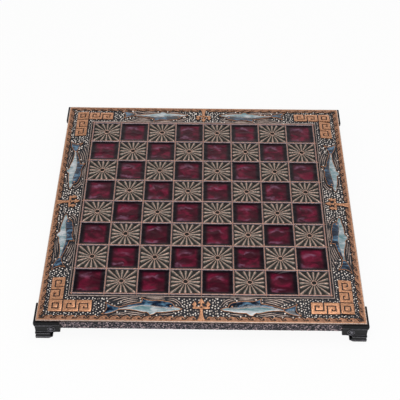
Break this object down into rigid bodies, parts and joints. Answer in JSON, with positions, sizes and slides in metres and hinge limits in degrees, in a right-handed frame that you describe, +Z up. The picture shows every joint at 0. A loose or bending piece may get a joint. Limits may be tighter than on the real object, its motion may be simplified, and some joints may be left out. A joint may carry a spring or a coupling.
{
  "type": "chessboard",
  "caption": "Square chessboard with cast relief squares, sunken enamel squares, a sloping ornamental border and low corner feet.",
  "frame": {"origin": "centre of the footprint, on the surface that the feet stand on", "axes": "+X along the front edge to the right, +Y from the front edge to the back, +Z up out of the playing surface"},
  "size_m": [0.365, 0.365, 0.034],
  "materials": {
    "copper_casting": "copper-plated casting with a dark antique patina rubbed off the crests",
    "strip_metal": "stamped vermiculated metal, blackened, with rubbed copper crests",
    "foot_metal": "satin black",
    "red_enamel": "glossy translucent crimson enamel",
    "blue_enamel": "glossy deep blue enamel",
    "pale_enamel": "glossy pale aqua enamel",
    "core_wood": "plain board",
    "panel_board": "black stained board",
    "screw_steel": "blackened steel",
    "pad_felt": "black felt"
  },
  "bodies": {
    "root": {"core_board": "core_wood", "backing_panel": "panel_board", "panel_screws": "screw_steel", "foot_screws": "screw_steel", "side_strip_front": "strip_metal", "side_strip_back": "strip_metal", "side_strip_left": "strip_metal", "side_strip_right": "strip_metal", "foot_front_left": "foot_metal", "foot_front_right": "foot_metal", "foot_back_right": "foot_metal", "foot_back_left": "foot_metal", "foot_pads": "pad_felt", "field_casting": "copper_casting", "red_enamel_a1": "red_enamel", "red_enamel_a3": "red_enamel", "red_enamel_a5": "red_enamel", "red_enamel_a7": "red_enamel", "red_enamel_b2": "red_enamel", "red_enamel_b4": "red_enamel", "red_enamel_b6": "red_enamel", "red_enamel_b8": "red_enamel", "red_enamel_c1": "red_enamel", "red_enamel_c3": "red_enamel", "red_enamel_c5": "red_enamel", "red_enamel_c7": "red_enamel", "red_enamel_d2": "red_enamel", "red_enamel_d4": "red_enamel", "red_enamel_d6": "red_enamel", "red_enamel_d8": "red_enamel", "red_enamel_e1": "red_enamel", "red_enamel_e3": "red_enamel", "red_enamel_e5": "red_enamel", "red_enamel_e7": "red_enamel", "red_enamel_f2": "red_enamel", "red_enamel_f4": "red_enamel", "red_enamel_f6": "red_enamel", "red_enamel_f8": "red_enamel", "red_enamel_g1": "red_enamel", "red_enamel_g3": "red_enamel", "red_enamel_g5": "red_enamel", "red_enamel_g7": "red_enamel", "red_enamel_h2": "red_enamel", "red_enamel_h4": "red_enamel", "red_enamel_h6": "red_enamel", "red_enamel_h8": "red_enamel", "border_casting": "copper_casting", "dolphin_blue_front": "blue_enamel", "dolphin_blue_right": "blue_enamel", "dolphin_blue_back": "blue_enamel", "dolphin_blue_left": "blue_enamel", "dolphin_pale_front": "pale_enamel", "dolphin_pale_right": "pale_enamel", "dolphin_pale_back": "pale_enamel", "dolphin_pale_left": "pale_enamel"}
  },
  "joints": []
}
